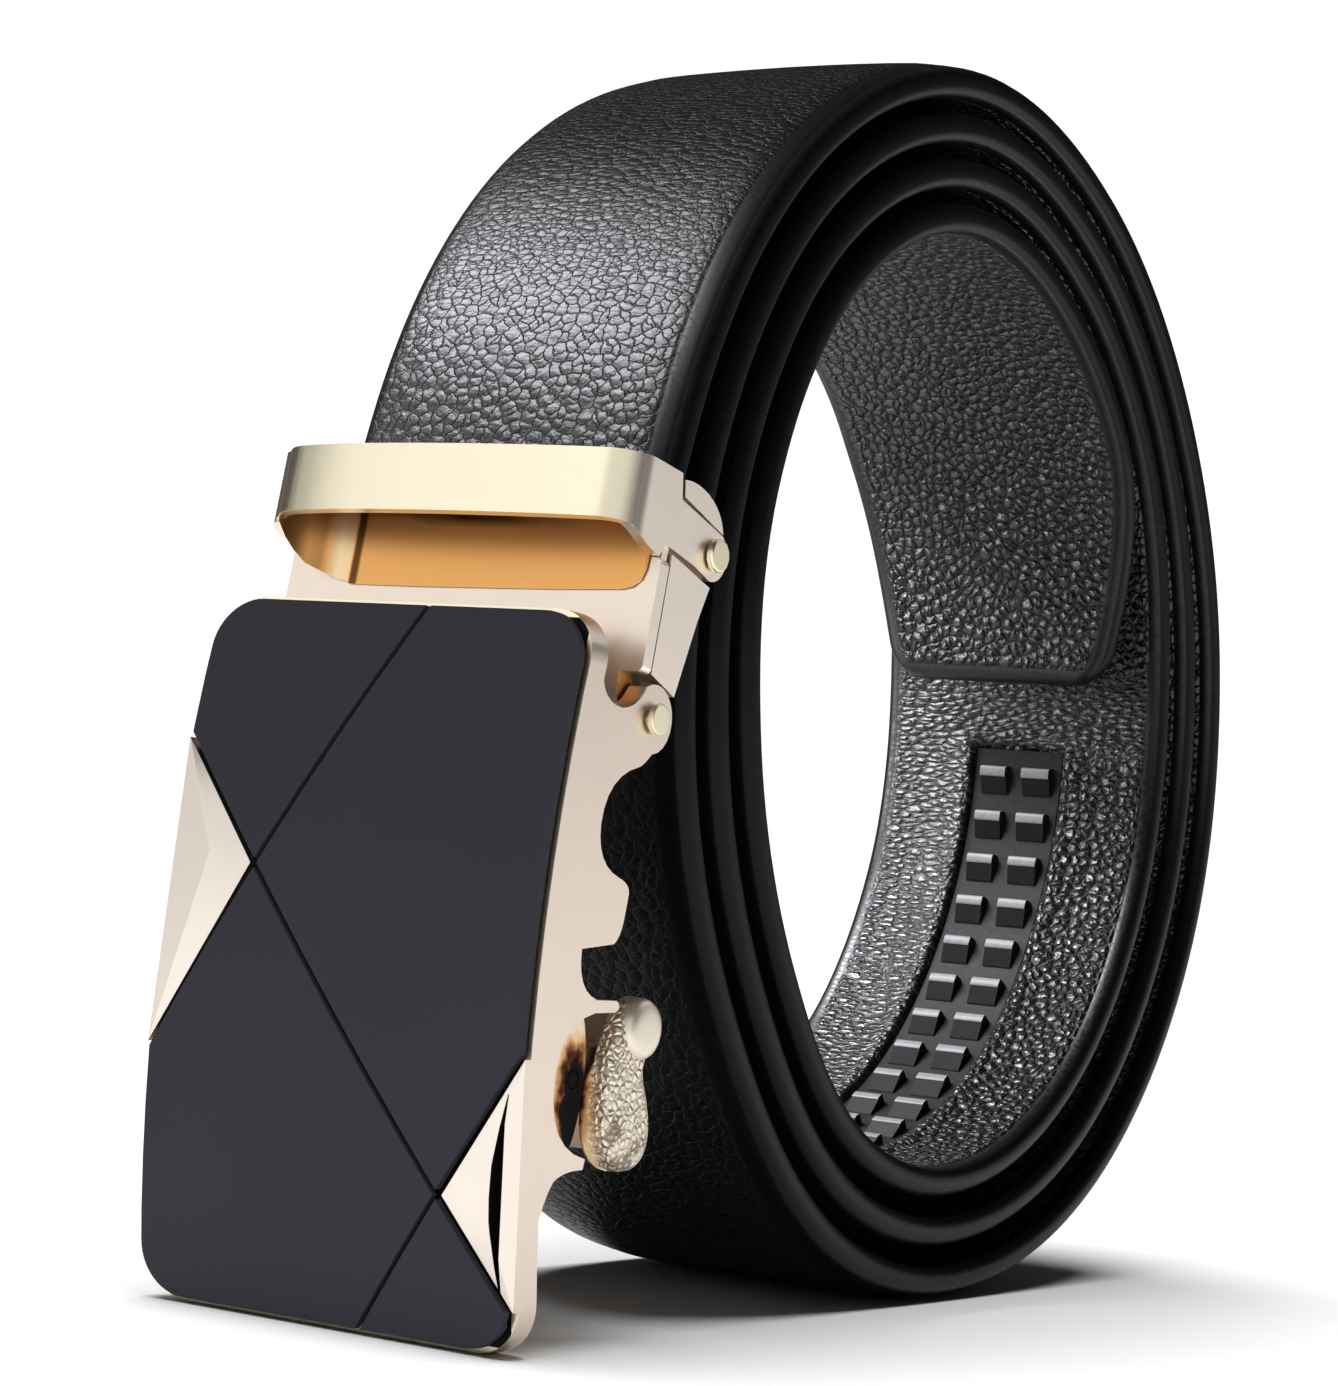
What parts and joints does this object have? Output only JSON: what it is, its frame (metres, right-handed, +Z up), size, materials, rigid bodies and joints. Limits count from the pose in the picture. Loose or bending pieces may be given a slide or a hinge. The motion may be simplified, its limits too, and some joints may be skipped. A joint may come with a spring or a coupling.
{
  "type": "dress belt",
  "caption": "Dress belt of pebbled black leather rolled into a standing coil, with an automatic buckle at its outer end, a keeper loop on the clamp and a toothed track near the tip.",
  "frame": {"origin": "middle of the footprint, on the surface that the rolled belt stands on", "axes": "+X across the strap's width, -Y the way the buckle's face looks, +Z up"},
  "size_m": [0.0416, 0.1418, 0.1241],
  "materials": {
    "leather": "pebbled, semi-gloss black",
    "track": "black moulded plastic",
    "keeper_metal": "polished pale gold plating",
    "buckle_metal": "satin champagne gold plating",
    "face": "dark slate satin lacquer"
  },
  "bodies": {
    "belt": {"strap": "leather", "ratchet_track": "track", "keeper_loop": "keeper_metal", "clamp_jaw": "buckle_metal", "jaw_rivet_right": "keeper_metal", "jaw_rivet_left": "keeper_metal"},
    "buckle": {"buckle_frame": "buckle_metal", "face_panel_1": "face", "face_panel_2": "face", "face_panel_3": "face", "face_panel_4": "face", "hinge_rivet_right": "keeper_metal", "hinge_rivet_left": "keeper_metal", "lever_pin": "buckle_metal"},
    "lever": {"release_lever": "buckle_metal", "pawl": "buckle_metal"}
  },
  "joints": [
    {"name": "frame_swing", "type": "hinge", "parent": "belt", "child": "buckle", "pos_m": [-0.00007, -0.05543, 0.05367], "axis": [1, 0, 0], "range_deg": [-30, 10]},
    {"name": "lever_release", "type": "hinge", "parent": "buckle", "child": "lever", "pos_m": [-0.00007, -0.06123, 0.02287], "axis": [1, 0, 0], "range_deg": [-14, 0], "stiffness_Nm_per_rad": 0.05, "springref_deg": 5.73}
  ]
}
